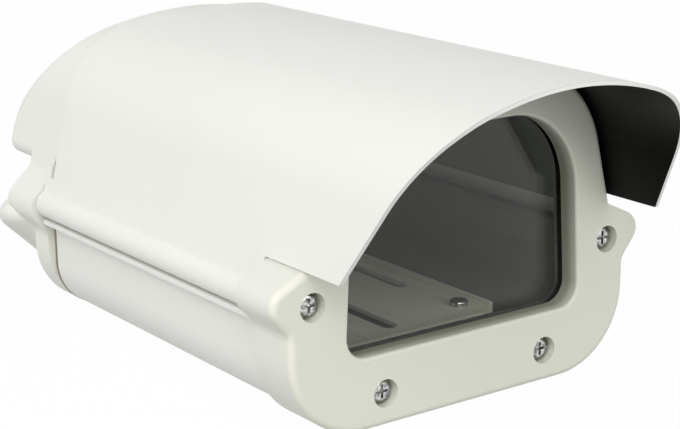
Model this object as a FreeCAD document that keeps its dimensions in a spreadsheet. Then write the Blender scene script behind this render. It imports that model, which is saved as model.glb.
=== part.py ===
import FreeCAD, Part
import Sketcher
import math
import os

# Weatherproof housing for a surveillance camera, with a side-hinged cover and a sun hood.
# Millimetres. X runs across, -Y is the glazed front, +Z is up. The origin is the middle of the
# two mounting holes, on the underside of the lower shell.

os.makedirs("parts", exist_ok=True)
doc = FreeCAD.newDocument("camera_housing")
Vec = FreeCAD.Vector

# Driving sizes: alias, value, meaning
SIZES = [
    ("body_length", 155.0, "lower shell, between the faces of the front bezel and the rear cap"),
    ("shell_half_width", 67.0, "outside of the side walls"),
    ("shell_wall", 2.0, "extruded wall"),
    ("shell_corner", 20.0, "outer radius of the two lower corners"),
    ("lip_top", 38.6, "top of the ledge under the hinge bead"),
    ("lip_thick", 1.8, "thickness of that ledge"),
    ("lip_half_width", 72.3, "outer edge of the ledge on the hinge side"),
    ("neck_inner", 61.4, "inner face of the neck that carries the bead"),
    ("neck_thick", 2.2, "thickness of the neck"),
    ("hinge_x", 69.0, "hinge bead, from the middle plane"),
    ("hinge_z", 44.5, "height of the hinge bead"),
    ("bead_radius", 3.8, "solid bead of the shell"),
    ("hinge_gap", 0.3, "bead to socket"),
    ("socket_wall", 1.5, "wall of the cover's socket"),
    ("socket_start", 75.0, "polar angle of the socket's upper lip"),
    ("socket_end", 256.0, "polar angle of the socket's lower lip"),
    ("arch_top", 119.4, "top of the cover"),
    ("arch_base", 59.0, "height where the side walls of the cover are measured"),
    ("arch_half_width", 68.7, "half width of the cover at that height"),
    ("arch_lean", 13.5, "lean of the cover's side walls"),
    ("crown_radius", 115.0, "radius over the top of the cover"),
    ("shoulder_radius", 41.0, "radius of the cover's shoulders"),
    ("sheet", 1.3, "wall of the cover"),
    ("hood_low_reach", 41.5, "hood ahead of the shell's front end, at the base height"),
    ("hood_top_reach", 73.8, "hood ahead of the shell's front end, at the top"),
    ("hood_slope", 31.0, "lean of the hood's front edge"),
    ("hood_round", 25.0, "rounding between that edge and its upright top"),
    ("hood_right_lift", 3.3, "lower edge of the hood, higher on the right"),
    ("cover_rear_gap", 6.5, "rear edge of the cover to the face of the rear cap"),
    ("crown_cut", 16.5, "rear edge at the crown, ahead of the sides"),
    ("crown_cut_slope", 16.5, "slope of that cut"),
    ("crown_cut_round", 4.0, "rounding of its lower end"),
    ("rail_gap", 0.5, "ends of the cover's rails to the end pieces"),
    ("notch", 2.2, "relief notch in the skirts behind the sheet"),
    ("notch_depth", 3.5, "that notch, below the base of the sheet"),
    ("lock_foot_reach", 4.4, "locking foot, out from the cover's channel"),
    ("lock_foot_thick", 2.5, "thickness of the locking foot"),
    ("lock_gap", 1.0, "foot to ledge"),
    ("lock_screw_y", 45.0, "lock screws, from the middle of the length"),
    ("lock_screw_radius", 1.5, "thread of the lock screws"),
    ("lock_head_radius", 2.8, "heads of the lock screws"),
    ("lock_head_height", 2.2, "heads of the lock screws"),
    ("lock_screw_length", 8.0, "lock screws under the head"),
    ("lock_hole_gap", 0.35, "lock screws to the holes of the foot"),
    ("rail_seal_thick", 0.7, "seal between the foot and the ledge"),
    ("ear_screw_x", 65.0, "upper end screws, from the middle plane"),
    ("ear_screw_z", 46.0, "height of the upper end screws"),
    ("low_screw_x", 35.5, "lower end screws, from the middle plane"),
    ("low_screw_z", 9.8, "height of the lower end screws"),
    ("port_radius", 3.4, "screw ports of the shell"),
    ("port_bore", 2.0, "bore of the screw ports"),
    ("screw_radius", 1.95, "thread of the end screws in the ports"),
    ("screw_length", 20.0, "end screws under the head"),
    ("head_radius", 4.0, "pan head of the end screws"),
    ("head_height", 2.9, "pan head of the end screws"),
    ("washer_radius", 4.5, "washers of the end screws"),
    ("washer_thick", 0.8, "washers of the end screws"),
    ("hole_radius", 2.3, "clearance holes of the end screws"),
    ("counterbore_radius", 5.0, "counterbores of the end screws"),
    ("bezel_depth", 21.5, "front bezel"),
    ("bezel_under_cover", 2.0, "outside of the bezel's arch, in from the outside of the cover"),
    ("bezel_skin", 3.0, "moulded wall of the bezel"),
    ("bezel_round", 2.6, "rounding of the bezel's front edge"),
    ("screw_seat", 6.0, "depth of the counterbores in the bezel"),
    ("boss_radius", 7.5, "screw bosses behind the bezel's face"),
    ("ear_tip", 81.0, "tips of the ears, from the middle plane"),
    ("ear_tip_radius", 6.5, "rounding of the ear tips"),
    ("ear_rise", 1.8, "centre of the ear tips above the screws"),
    ("ear_top_slope", 26.0, "fall of the ears' upper edges"),
    ("ear_low_slope", 50.0, "fall of the ears' lower edges"),
    ("waist_fillet", 5.0, "hollow below the ears"),
    ("side_half_width", 74.0, "sides of the bezel below the ears"),
    ("end_corner", 30.0, "lower corners of the bezel"),
    ("end_bottom", -2.0, "underside of the bezel and of the rear cap"),
    ("window_bottom", 24.0, "lower edge of the window"),
    ("window_drop", 21.9, "upper edge of the window, below the top of the cover"),
    ("window_half_width", 51.5, "half width of the window at its lower edge"),
    ("window_lean", 3.0, "lean of the window's sides"),
    ("window_low_corner", 8.0, "lower corners of the window"),
    ("window_top_corner", 30.0, "upper corners of the window"),
    ("window_depth", 8.0, "reveal of the window"),
    ("window_round", 1.2, "rounding of the window's edge"),
    ("window_seat", 7.0, "overlap of the glass behind the reveal"),
    ("gasket", 1.0, "gasket in front of the glass"),
    ("gasket_setback", 1.0, "gasket, back from the edge of the window"),
    ("glass", 3.0, "window glass"),
    ("retainer", 1.5, "frame that clamps the glass"),
    ("retainer_screw_x", 47.0, "clamping screws, from the middle plane"),
    ("retainer_screw_fall", 8.6, "lower clamping screws, below the window"),
    ("retainer_screw_rise", 7.7, "upper clamping screws, above the window"),
    ("retainer_screw_top_x", 22.0, "upper clamping screws, from the middle plane"),
    ("retainer_screw_radius", 1.4, "thread of the clamping screws"),
    ("retainer_screw_length", 7.0, "clamping screws under the head"),
    ("retainer_head_radius", 2.8, "heads of the clamping screws"),
    ("retainer_boss", 3.6, "eyes of the clamping screws"),
    ("retainer_gap", 0.4, "clamping frame to the sides"),
    ("glass_lap", 5.0, "glass behind the reveal"),
    ("glass_gap", 0.2, "glass to the sides of its seat"),
    ("seat_lap", 1.2, "flange of the bezel inside the shell"),
    ("front_rebate", 2.5, "depth of the shell's seat in the bezel"),
    ("rebate_gap", 0.3, "shell to the sides of its seat"),
    ("front_gasket", 1.5, "gasket in that seat"),
    ("rear_gasket", 1.6, "gasket between the shell and the rear cap"),
    ("end_gasket_inset", 1.2, "end gaskets, in from the outside of the shell"),
    ("arch_seal_gap", 0.3, "arch seals to the inside of the cover"),
    ("arch_seal_thick", 2.2, "arch seals"),
    ("arch_seal_width", 5.0, "arch seals along the length"),
    ("arch_seal_place", 6.0, "arch seals from the ends of the shell"),
    ("arch_seal_foot", 62.0, "lower ends of the arch seals"),
    ("collar_depth", 11.0, "sides of the rear cap around the end of the shell"),
    ("collar_ear_depth", 20.0, "ears of the rear cap"),
    ("collar_tip", 76.9, "tips of those ears, from the middle plane"),
    ("collar_tip_radius", 7.6, "rounding of their tips"),
    ("collar_tip_drop", 1.5, "centre of their tips below the hinge"),
    ("collar_top_slope", 43.0, "fall of their upper edges"),
    ("rear_screw_seat", 8.0, "seat of the rear screws, behind the face"),
    ("tube_radius", 6.8, "tubes of the lower rear screws"),
    ("collar_half_width", 70.0, "sides of the rear cap at its face"),
    ("collar_corner", 28.0, "lower corners of the rear cap at its face"),
    ("spigot_reach", 31.5, "arch of the rear cap under the cover"),
    ("cap_wall", 3.0, "moulded wall of the rear cap"),
    ("dome_inset", 3.0, "upper part of the rear cap, in from the outside of the cover"),
    ("dome_reach", 43.5, "that part, behind the face"),
    ("dome_start", 15.5, "its front end under the cover, ahead of the face"),
    ("dome_low", 57.0, "its lower edge"),
    ("dome_height", 117.7, "height of its slope at the face"),
    ("dome_slope", 44.0, "slope of its rear"),
    ("dome_rear_round", 30.0, "side profile below that slope"),
    ("dome_round", 6.0, "rounding of its rear edge"),
    ("dome_low_round", 5.0, "rounding of its lower edge"),
    ("stern_top", 42.5, "top of the lower part of the rear cap"),
    ("stern_face_top", 42.0, "its top at its front end"),
    ("stern_end_top", 38.5, "its top at its rear face"),
    ("stern_tip", 78.2, "flared sides of the lower part"),
    ("stern_reach", 23.5, "widest place, behind the face"),
    ("stern_end", 36.0, "rear face of the lower part"),
    ("stern_end_half", 72.5, "half width at its rear face"),
    ("stern_slope", 45.0, "slope of its flanks"),
    ("stern_face_slope", 90.0, "slope of its flanks at its front end"),
    ("stern_bottom", 1.0, "underside at the widest place"),
    ("stern_end_bottom", 2.3, "underside at its rear face"),
    ("stern_tip_radius", 6.0, "rounding of the flared sides"),
    ("stern_low_radius", 14.0, "rounding of its narrow bottom"),
    ("waist_half_width", 56.0, "middle of the rear cap between the scoops"),
    ("cavity_half", 46.0, "half width of the room in the rear cap"),
    ("crown_cavity_half", 34.0, "half width of the upper part of that room"),
    ("crown_cavity_drop", 12.0, "that part, below the top of the cover"),
    ("cavity_drop", 22.0, "lower room in the rear cap, below the top of the cover"),
    ("opening_low", 5.0, "passage into the rear cap, lowest edge"),
    ("opening_low_half", 27.0, "half width of its lower part"),
    ("opening_shelf", 20.0, "height where it widens"),
    ("rear_seal_place", 1.0, "rear seal behind the front edge of the rear cap's arch"),
    ("tray_top", 14.5, "camera tray"),
    ("tray_thick", 1.6, "camera tray"),
    ("tray_half_width", 42.0, "camera tray"),
    ("tray_front", 15.5, "front end of the tray, behind the shell's front end"),
    ("tray_rear", 11.5, "rear end of the tray, ahead of the shell's rear end"),
    ("tray_flange", 3.0, "turned-up edges of the tray"),
    ("slot_half_width", 3.3, "middle slot"),
    ("slot_front", 56.0, "front end of the middle slot"),
    ("slot_rear", 56.0, "rear end of the middle slot"),
    ("side_slot_x", 33.0, "side slots, from the middle plane"),
    ("side_slot_half_width", 2.6, "side slots"),
    ("side_slot_front", 20.0, "front end of the side slots"),
    ("side_slot_rear", 42.0, "rear end of the side slots"),
    ("tray_screw_y", 50.0, "tray screws, from the middle of the length"),
    ("tray_screw_radius", 1.6, "thread of the tray screws"),
    ("tray_head_radius", 3.6, "head of the tray screws"),
    ("tray_head_height", 2.2, "head of the tray screws"),
    ("tray_screw_length", 5.0, "tray screws under the head"),
    ("rail_half_width", 5.0, "screw rails on the floor of the shell"),
    ("camera_bolt_radius", 3.1, "camera bolt"),
    ("camera_bolt_y", 5.0, "camera bolt at rest, behind the middle of the length"),
    ("camera_knob_radius", 8.5, "knob of the camera bolt"),
    ("camera_knob_height", 3.6, "knob of the camera bolt"),
    ("camera_knob_gap", 0.3, "knob and keeper to the tray"),
    ("camera_bolt_reach", 8.0, "camera bolt above the tray"),
    ("keeper_radius", 7.5, "keeper washer of the camera bolt"),
    ("keeper_bore", 2.6, "keeper washer of the camera bolt"),
    ("keeper_thick", 1.5, "keeper washer of the camera bolt"),
    ("mount_spacing", 60.0, "mounting holes"),
    ("mount_hole_radius", 3.2, "mounting holes"),
    ("mount_bar_half_width", 11.0, "threaded bar on the floor"),
    ("mount_bar_length", 110.0, "threaded bar on the floor"),
    ("mount_bar_thick", 4.5, "threaded bar on the floor"),
    ("bar_screw_y", 46.0, "screws of the bar, from the middle of the length"),
    ("bar_screw_radius", 1.95, "screws of the bar"),
    ("bar_screw_length", 6.0, "screws of the bar, from the underside of the shell"),
    ("thread_gap", 0.05, "screws to the walls of their threaded holes"),
    ("bar_thread", 2.55, "threaded mounting holes of the bar"),
    ("bar_head_radius", 3.8, "countersunk heads of the bar's screws"),
    ("bar_head_height", 1.8, "countersunk heads of the bar's screws"),
    ("gland_z", 27.5, "cable glands"),
    ("gland_spacing", 30.0, "cable glands"),
    ("gland_hole", 7.7, "holes of the glands"),
    ("gland_bore", 4.0, "cable passage of the glands"),
    ("gland_flat", 19.0, "across the flats of the glands"),
    ("gland_body_height", 6.0, "hexagon of the gland bodies"),
    ("gland_thread", 7.5, "thread of the gland bodies"),
    ("gland_tail", 8.0, "thread behind the wall"),
    ("gland_collar", 7.0, "outer thread of the gland bodies"),
    ("gland_nut_height", 13.0, "dome nuts"),
    ("gland_lock_height", 4.5, "lock nuts"),
    ("gland_washer", 1.2, "sealing rings of the glands"),
    ("gland_plug_length", 9.0, "blanking plugs"),
    ("gland_plug_rim", 1.5, "rim of the blanking plugs"),
    ("gland_round", 3.0, "rounding of the dome nuts"),
]


class Size:
    """A length or angle that knows its number and its expression on the sheet."""

    def __init__(self, value, text):
        self.value = value
        self.text = text

    def _join(self, other, sign, turned=False):
        other = as_size(other)
        left, right = (other, self) if turned else (self, other)
        number = {
            "+": lambda a, b: a + b,
            "-": lambda a, b: a - b,
            "*": lambda a, b: a * b,
            "/": lambda a, b: a / b,
        }[sign](left.value, right.value)
        return Size(number, "(%s %s %s)" % (left.text, sign, right.text))

    def __add__(self, other):
        return self._join(other, "+")

    def __radd__(self, other):
        return self._join(other, "+", True)

    def __sub__(self, other):
        return self._join(other, "-")

    def __rsub__(self, other):
        return self._join(other, "-", True)

    def __mul__(self, other):
        return self._join(other, "*")

    def __rmul__(self, other):
        return self._join(other, "*", True)

    def __truediv__(self, other):
        return self._join(other, "/")

    def __neg__(self):
        return Size(-self.value, "(-1 * %s)" % self.text)


def as_size(number):
    """A plain number as a Size."""
    return number if isinstance(number, Size) else Size(float(number), repr(float(number)))


def sine(angle):
    """Sine of an angle in degrees."""
    angle = as_size(angle)
    return Size(math.sin(math.radians(angle.value)), "sin(%s)" % angle.text)


def cosine(angle):
    """Cosine of an angle in degrees."""
    angle = as_size(angle)
    return Size(math.cos(math.radians(angle.value)), "cos(%s)" % angle.text)


def tangent(angle):
    """Tangent of an angle in degrees."""
    angle = as_size(angle)
    return Size(math.tan(math.radians(angle.value)), "tan(%s)" % angle.text)


def root(number):
    """Square root."""
    return Size(math.sqrt(number.value), "sqrt(%s)" % number.text)


def write_sheet():
    """The spreadsheet with every driving size."""
    sheet = doc.addObject("Spreadsheet::Sheet", "Sizes")
    for row, (alias, value, meaning) in enumerate(SIZES, start=1):
        sheet.set("A%d" % row, alias)
        sheet.set("B%d" % row, str(value))
        sheet.set("C%d" % row, meaning)
        sheet.setAlias("B%d" % row, alias)
    doc.recompute()
    return {alias: Size(value, "Sizes." + alias) for alias, value, meaning in SIZES}


S = write_sheet()
ZERO = as_size(0)
FRONT = -S["body_length"] / 2
REAR = S["body_length"] / 2
BEZEL_FACE = FRONT - S["bezel_depth"]
SIDES = (-1, 1)


def bind(owner, prop, size):
    """Tie a property to the sheet."""
    size = as_size(size)
    owner.setExpression(prop, size.text)


def new_body(label):
    """An empty sub-part."""
    body = doc.addObject("PartDesign::Body", label)
    body.Label = label
    return body


def new_sketch(body, name, plane, offset):
    """A sketch on a plane of the body: XZ sits at y = offset, YZ at x, XY at z."""
    sketch = body.newObject("Sketcher::SketchObject", name)
    for feature in body.Origin.OriginFeatures:
        if feature.Role == plane + "_Plane":
            sketch.AttachmentSupport = (feature, [""])
    sketch.MapMode = "FlatFace"
    offset = as_size(offset)
    if plane == "XZ":
        offset = -offset
    sketch.AttachmentOffset = FreeCAD.Placement(Vec(0, 0, offset.value), FreeCAD.Rotation())
    bind(sketch, "AttachmentOffset.Base.z", offset)
    return sketch


def hold(sketch, kind, parts, size):
    """One driving dimension of a sketch."""
    size = as_size(size)
    index = sketch.addConstraint(Sketcher.Constraint(kind, *parts, size.value))
    if "Sizes." in size.text:
        sketch.setExpression("Constraints[%d]" % index, size.text)


def add_circle(sketch, centre_x, centre_y, radius):
    """A circle held by its centre and radius."""
    centre_x, centre_y, radius = as_size(centre_x), as_size(centre_y), as_size(radius)
    circle = Part.Circle(Vec(centre_x.value, centre_y.value, 0), Vec(0, 0, 1), radius.value)
    index = sketch.addGeometry(circle, False)
    hold(sketch, "DistanceX", (-1, 1, index, 3), centre_x)
    hold(sketch, "DistanceY", (-1, 1, index, 3), centre_y)
    hold(sketch, "Radius", (index,), radius)


def arc_between(start, end, radius, turn):
    """The short arc from start to end; turn is 1 for anticlockwise and -1 for clockwise."""
    middle = (start + end) * 0.5
    chord = end - start
    across = Vec(-chord.y, chord.x, 0).normalize()
    rise = math.sqrt(max(radius ** 2 - (chord.Length / 2) ** 2, 0))
    centre = middle + across * rise * turn
    first, last = (start, end) if turn > 0 else (end, start)
    angle = [math.atan2(p.y - centre.y, p.x - centre.x) for p in (first, last)]
    if angle[1] < angle[0]:
        angle[1] += 2 * math.pi
    return Part.ArcOfCircle(Part.Circle(centre, Vec(0, 0, 1), radius), angle[0], angle[1])


def add_outline(sketch, points):
    """A closed outline. A point is (x, y), or (x, y, radius, turn) where an arc leads to it."""
    count = len(points)
    pieces = []
    for number, point in enumerate(points):
        previous = points[number - 1]
        start = Vec(as_size(previous[0]).value, as_size(previous[1]).value, 0)
        end = Vec(as_size(point[0]).value, as_size(point[1]).value, 0)
        if len(point) == 2:
            index = sketch.addGeometry(Part.LineSegment(start, end), False)
            pieces.append((index, 1, 2))
        else:
            radius, turn = as_size(point[2]), point[3]
            arc = arc_between(start, end, radius.value, turn)
            index = sketch.addGeometry(arc, False)
            pieces.append((index, 1, 2) if turn > 0 else (index, 2, 1))
            hold(sketch, "Radius", (index,), radius)
    for number, (index, first, last) in enumerate(pieces):
        following = pieces[(number + 1) % count]
        sketch.addConstraint(Sketcher.Constraint("Coincident", index, last, following[0], following[1]))
        hold(sketch, "DistanceX", (-1, 1, index, last), points[number][0])
        hold(sketch, "DistanceY", (-1, 1, index, last), points[number][1])


def add_box(sketch, x_low, y_low, x_high, y_high):
    """A rectangle."""
    add_outline(sketch, [(x_low, y_low), (x_high, y_low), (x_high, y_high), (x_low, y_high)])


def pad(body, sketch, length, forwards=False):
    """Extrude a sketch: to the rear, to the right or up, or the other way when forwards is set."""
    feature = body.newObject("PartDesign::Pad", "Pad")
    feature.Profile = sketch
    bind(feature, "Length", length)
    across_length = abs(sketch.AttachmentSupport[0][0].Placement.Rotation.multVec(Vec(0, 0, 1)).y) > 0.5
    feature.Reversed = across_length != forwards
    doc.recompute()
    body.Tip = feature
    return feature


def pocket(body, sketch, length, forwards=False):
    """Cut a sketch away: to the rear, to the right or up, or the other way when forwards is set."""
    before = body.Shape.Volume
    feature = body.newObject("PartDesign::Pocket", "Pocket")
    feature.Profile = sketch
    bind(feature, "Length", length)
    across_length = abs(sketch.AttachmentSupport[0][0].Placement.Rotation.multVec(Vec(0, 0, 1)).y) > 0.5
    feature.Reversed = across_length == forwards
    doc.recompute()
    body.Tip = feature
    if body.Shape.Volume > before - 0.001:
        raise RuntimeError("a pocket of %s cuts nothing" % body.Label)
    return feature


def round_edges(body, chosen, radius):
    """Round the edges of the last feature for which chosen(edge) is true."""
    base = body.Tip
    names = ["Edge%d" % n for n, edge in enumerate(base.Shape.Edges, start=1) if chosen(edge)]
    feature = body.newObject("PartDesign::Fillet", "Fillet")
    feature.Base = (base, names)
    bind(feature, "Radius", radius)
    doc.recompute()
    body.Tip = feature
    return feature


def lies_at(edge, axis, place, slack=0.01):
    """True where the whole edge lies in the plane axis = place."""
    box = edge.BoundBox
    low, high = {"x": (box.XMin, box.XMax), "y": (box.YMin, box.YMax), "z": (box.ZMin, box.ZMax)}[axis]
    return abs(low - place) < slack and abs(high - place) < slack


def arch_half(inset, foot):
    """The right half of the cover's arch, from its foot up to the top, moved in by inset."""
    lean = S["arch_lean"]
    out_x, out_z = cosine(lean), sine(lean)
    crown = S["crown_radius"]
    shoulder = S["shoulder_radius"]
    crown_z = S["arch_top"] - crown
    # The shoulder's centre slides along a line beside the wall until its circle meets the crown
    start_x = S["arch_half_width"] - shoulder * out_x
    start_z = S["arch_base"] - shoulder * out_z
    from_x = start_x
    from_z = start_z - crown_z
    along = out_x * from_z - out_z * from_x
    beyond = from_x * from_x + from_z * from_z - (crown - shoulder) * (crown - shoulder)
    slide = root(along * along - beyond) - along
    centre_x = start_x - out_z * slide
    centre_z = start_z + out_x * slide
    wall_x = centre_x + (shoulder - inset) * out_x
    wall_z = centre_z + (shoulder - inset) * out_z
    share = (crown - inset) / (crown - shoulder)
    join_x = centre_x * share
    join_z = crown_z + (centre_z - crown_z) * share
    foot_x = wall_x + (wall_z - foot) * tangent(lean)
    return {
        "foot": (foot_x, foot),
        "wall": (wall_x, wall_z),
        "join": (join_x, join_z),
        "shoulder": shoulder - inset,
        "crown": crown - inset,
    }


def arch_over(inset, foot):
    """Points of the arch from its right foot over the top to its left foot."""
    half = arch_half(inset, foot)
    join_x, join_z = half["join"]
    wall_x, wall_z = half["wall"]
    foot_x, foot_z = half["foot"]
    return [
        (foot_x, foot_z),
        (wall_x, wall_z),
        (join_x, join_z, half["shoulder"], 1),
        (-join_x, join_z, half["crown"], 1),
        (-wall_x, wall_z, half["shoulder"], 1),
        (-foot_x, foot_z),
    ]


def arch_back(inset, foot):
    """The same points from the left foot over the top to the right foot."""
    half = arch_half(inset, foot)
    join_x, join_z = half["join"]
    wall_x, wall_z = half["wall"]
    foot_x, foot_z = half["foot"]
    return [
        (-foot_x, foot_z),
        (-wall_x, wall_z),
        (-join_x, join_z, half["shoulder"], -1),
        (join_x, join_z, half["crown"], -1),
        (wall_x, wall_z, half["shoulder"], -1),
        (foot_x, foot_z),
    ]


def ear_half(inset, half_width, end_corner, under_cover, ear):
    """Outline of the right ear and side: joint with the arch first, underside last."""
    tip, tip_radius, tip_z, top_slope = ear
    top_x, top_z = cosine(top_slope), sine(top_slope)
    low_x, low_z = cosine(S["ear_low_slope"]), sine(S["ear_low_slope"])
    radius = tip_radius - inset
    tip_x = tip - tip_radius
    upper = (tip_x + radius * top_z, tip_z + radius * top_x)
    lower = (tip_x + radius * low_z, tip_z - radius * low_x)
    arch = arch_half(under_cover + inset, S["arch_base"])["foot"]
    lean = tangent(S["arch_lean"])
    run = (upper[0] - arch[0] + (upper[1] - arch[1]) * lean) / (top_x - top_z * lean)
    joint = (upper[0] - run * top_x, upper[1] + run * top_z)
    side = half_width - inset
    fillet = S["waist_fillet"] + inset
    drop = (lower[0] - side) / low_x
    corner_z = lower[1] - drop * low_z
    reach = fillet * tangent((90 - S["ear_low_slope"]) / 2)
    hollow_in = (side + reach * low_x, corner_z + reach * low_z)
    hollow_out = (side, corner_z - reach)
    bottom = S["end_bottom"] + inset
    corner = end_corner - inset
    return {
        "joint": joint,
        "upper": upper,
        "lower": lower,
        "hollow_in": hollow_in,
        "hollow_out": hollow_out,
        "corner": (side, bottom + corner),
        "floor": (side - corner, bottom),
        "tip": radius,
        "fillet": fillet,
        "round": corner,
    }


def end_outline(inset):
    """Outline of the front bezel: arch, two ears, sides and underside, moved in by inset."""
    half = ear_half(inset, S["side_half_width"], S["end_corner"], S["bezel_under_cover"], BEZEL_EAR)
    arch = arch_half(S["bezel_under_cover"] + inset, S["arch_base"])
    join_x, join_z = arch["join"]
    wall_x, wall_z = arch["wall"]
    right = [
        half["floor"],
        half["corner"] + (half["round"], 1),
        half["hollow_out"],
        half["hollow_in"] + (half["fillet"], -1),
        half["lower"],
        half["upper"] + (half["tip"], 1),
        half["joint"],
        (wall_x, wall_z),
        (join_x, join_z, arch["shoulder"], 1),
    ]
    left = [
        (-join_x, join_z, arch["crown"], 1),
        (-wall_x, wall_z, arch["shoulder"], 1),
        mirrored(half["joint"]),
        mirrored(half["upper"]),
        mirrored(half["lower"]) + (half["tip"], 1),
        mirrored(half["hollow_in"]),
        mirrored(half["hollow_out"]) + (half["fillet"], -1),
        mirrored(half["corner"]),
        mirrored(half["floor"]) + (half["round"], 1),
    ]
    return right + left


def mirrored(point):
    """The same point on the left."""
    return (-point[0], point[1])


def window_outline(outset):
    """Outline of the window, moved out by outset."""
    lean = S["window_lean"]
    low_radius = S["window_low_corner"] + outset
    top_radius = S["window_top_corner"] + outset
    bottom = S["window_bottom"] - outset
    top = WINDOW_TOP + outset
    low_z = bottom + low_radius
    top_z = top - top_radius
    side_at_zero = S["window_half_width"] + outset / cosine(lean) + S["window_bottom"] * tangent(lean)
    low_x = side_at_zero - low_z * tangent(lean) - low_radius / cosine(lean)
    top_x = side_at_zero - top_z * tangent(lean) - top_radius / cosine(lean)
    low_side = (low_x + low_radius * cosine(lean), low_z + low_radius * sine(lean))
    top_side = (top_x + top_radius * cosine(lean), top_z + top_radius * sine(lean))
    return [
        (low_x, bottom),
        low_side + (low_radius, 1),
        top_side,
        (top_x, top, top_radius, 1),
        (-top_x, top),
        mirrored(top_side) + (top_radius, 1),
        mirrored(low_side),
        (-low_x, bottom, low_radius, 1),
    ]


def shell_outline(inset, top):
    """Open-topped outline of the lower shell, moved in by inset."""
    half = S["shell_half_width"] - inset
    corner = S["shell_corner"] - inset
    return [
        (half - corner, inset),
        (half, inset + corner, corner, 1),
        (half, top),
        (-half, top),
        (-half, inset + corner),
        (corner - half, inset, corner, 1),
    ]


def end_screw_places():
    """Places of the four end screws, as (x, z)."""
    places = [(side * S["ear_screw_x"], S["ear_screw_z"]) for side in SIDES]
    return places + [(side * S["low_screw_x"], S["low_screw_z"]) for side in SIDES]


def ring_part(centre_x, centre_z, inner, outer, first, last):
    """Outline of a ring sector between two polar angles, less than half a turn apart."""
    def place(radius, angle):
        return (centre_x + radius * cosine(angle), centre_z + radius * sine(angle))
    return [
        place(outer, first),
        place(outer, last) + (outer, 1),
        place(inner, last),
        place(inner, first) + (inner, -1),
    ]


def add_circles(sketch, places, radius):
    """Equal circles at several places."""
    for x, y in places:
        add_circle(sketch, x, y, radius)


def add_cross(sketch, x, y, reach, half):
    """A cross-shaped recess."""
    steps = [
        (reach, -half), (reach, half), (half, half), (half, reach), (-half, reach), (-half, half),
        (-reach, half), (-reach, -half), (-half, -half), (-half, -reach), (half, -reach), (half, -half),
    ]
    add_outline(sketch, [(x + across, y + along) for across, along in steps])


def add_hexagon(sketch, x, y, flats):
    """A hexagon with two level sides."""
    reach = flats / 2 / cosine(30)
    angles = (0, 60, 120, 180, 240, 300)
    add_outline(sketch, [(x + reach * cosine(a), y + reach * sine(a)) for a in angles])


def add_slot(sketch, x, first, last, half):
    """A slot along Y with round ends."""
    add_outline(sketch, [
        (x + half, last - half),
        (x, last, half, 1),
        (x - half, last - half, half, 1),
        (x - half, first + half),
        (x, first, half, 1),
        (x + half, first + half, half, 1),
    ])


def both_ends(x, y):
    """Two places, ahead of and behind the middle."""
    return [(x, -y), (x, y)]


def shell_band(outer_inset, inner_inset, top):
    """Outline of a U-shaped band along the shell's wall, open at the top."""
    outer = shell_outline(outer_inset, top)
    inner = shell_outline(inner_inset, top)
    return [
        outer[0],
        outer[1],
        outer[2],
        inner[2],
        inner[1][:2],
        inner[0] + (inner[1][2], -1),
        inner[5][:2],
        inner[4] + (inner[5][2], -1),
        inner[3],
        outer[3],
        outer[4],
        outer[5],
    ]


def arch_strip(outer, inner):
    """Closed outline of an arched strip above the feet of the seals."""
    foot = S["arch_seal_foot"]
    return arch_over(outer, foot) + arch_back(inner, foot)


def seat_band():
    """Flange inside the bezel around the end of the shell."""
    half = S["side_half_width"] - S["bezel_skin"]
    corner = S["end_corner"] - S["bezel_skin"]
    top = S["lip_top"]
    bottom = S["end_bottom"] + S["bezel_skin"] / 2
    half = half + S["bezel_skin"] / 2
    corner = corner + S["bezel_skin"] / 2
    inner = shell_outline(S["shell_wall"] + S["seat_lap"], top)
    return [
        (half - corner, bottom),
        (half, bottom + corner, corner, 1),
        (half, top),
        inner[2],
        inner[1][:2],
        inner[0] + (inner[1][2], -1),
        inner[5][:2],
        inner[4] + (inner[5][2], -1),
        inner[3],
        (-half, top),
        (-half, bottom + corner),
        (corner - half, bottom, corner, 1),
    ]


def rebate_outline():
    """Recess in the bezel for the end of the shell, its ledges and its beads."""
    gap = S["rebate_gap"]
    outer = shell_outline(-gap, S["lip_top"] - S["lip_thick"] - gap)
    lip = S["lip_half_width"] + gap
    bead = S["hinge_x"] + S["bead_radius"] + gap
    low = outer[2][1]
    top = S["ear_screw_z"] + S["port_radius"] + gap
    right = [
        outer[0],
        outer[1],
        outer[2],
        (lip, low),
        (lip, S["lip_top"] + gap),
        (bead, S["lip_top"] + gap * 5),
        (bead, top),
    ]
    left = [
        (-bead, top),
        (-bead, S["lip_top"] + gap * 5),
        (-lip, S["lip_top"] + gap),
        (-lip, low),
        outer[3],
        outer[4],
        outer[5],
    ]
    return right + left


def collar_half():
    """Right half of the rear cap at the shell, with the place where it meets the dome's side."""
    half = ear_half(ZERO, S["collar_half_width"], S["collar_corner"], S["dome_inset"], COLLAR_EAR)
    top = S["dome_low"] + S["cap_wall"] * 2
    half["top"] = arch_half(S["dome_inset"], top)["foot"]
    return half


def collar_outline():
    """Ears, sides and underside of the rear cap at the shell."""
    half = collar_half()
    right = [
        half["floor"],
        half["corner"] + (half["round"], 1),
        half["hollow_out"],
        half["hollow_in"] + (half["fillet"], -1),
        half["lower"],
        half["upper"] + (half["tip"], 1),
        half["joint"],
        half["top"],
    ]
    left = [
        mirrored(half["top"]),
        mirrored(half["joint"]),
        mirrored(half["upper"]),
        mirrored(half["lower"]) + (half["tip"], 1),
        mirrored(half["hollow_in"]),
        mirrored(half["hollow_out"]) + (half["fillet"], -1),
        mirrored(half["corner"]),
        mirrored(half["floor"]) + (half["round"], 1),
    ]
    return right + left


def collar_ears():
    """The two ears of the rear cap by themselves, with what lies between them."""
    half = collar_half()
    right = [half["lower"], half["upper"] + (half["tip"], 1), half["joint"], half["top"]]
    left = [
        mirrored(half["top"]),
        mirrored(half["joint"]),
        mirrored(half["upper"]),
        mirrored(half["lower"]) + (half["tip"], 1),
    ]
    return right + left


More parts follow.
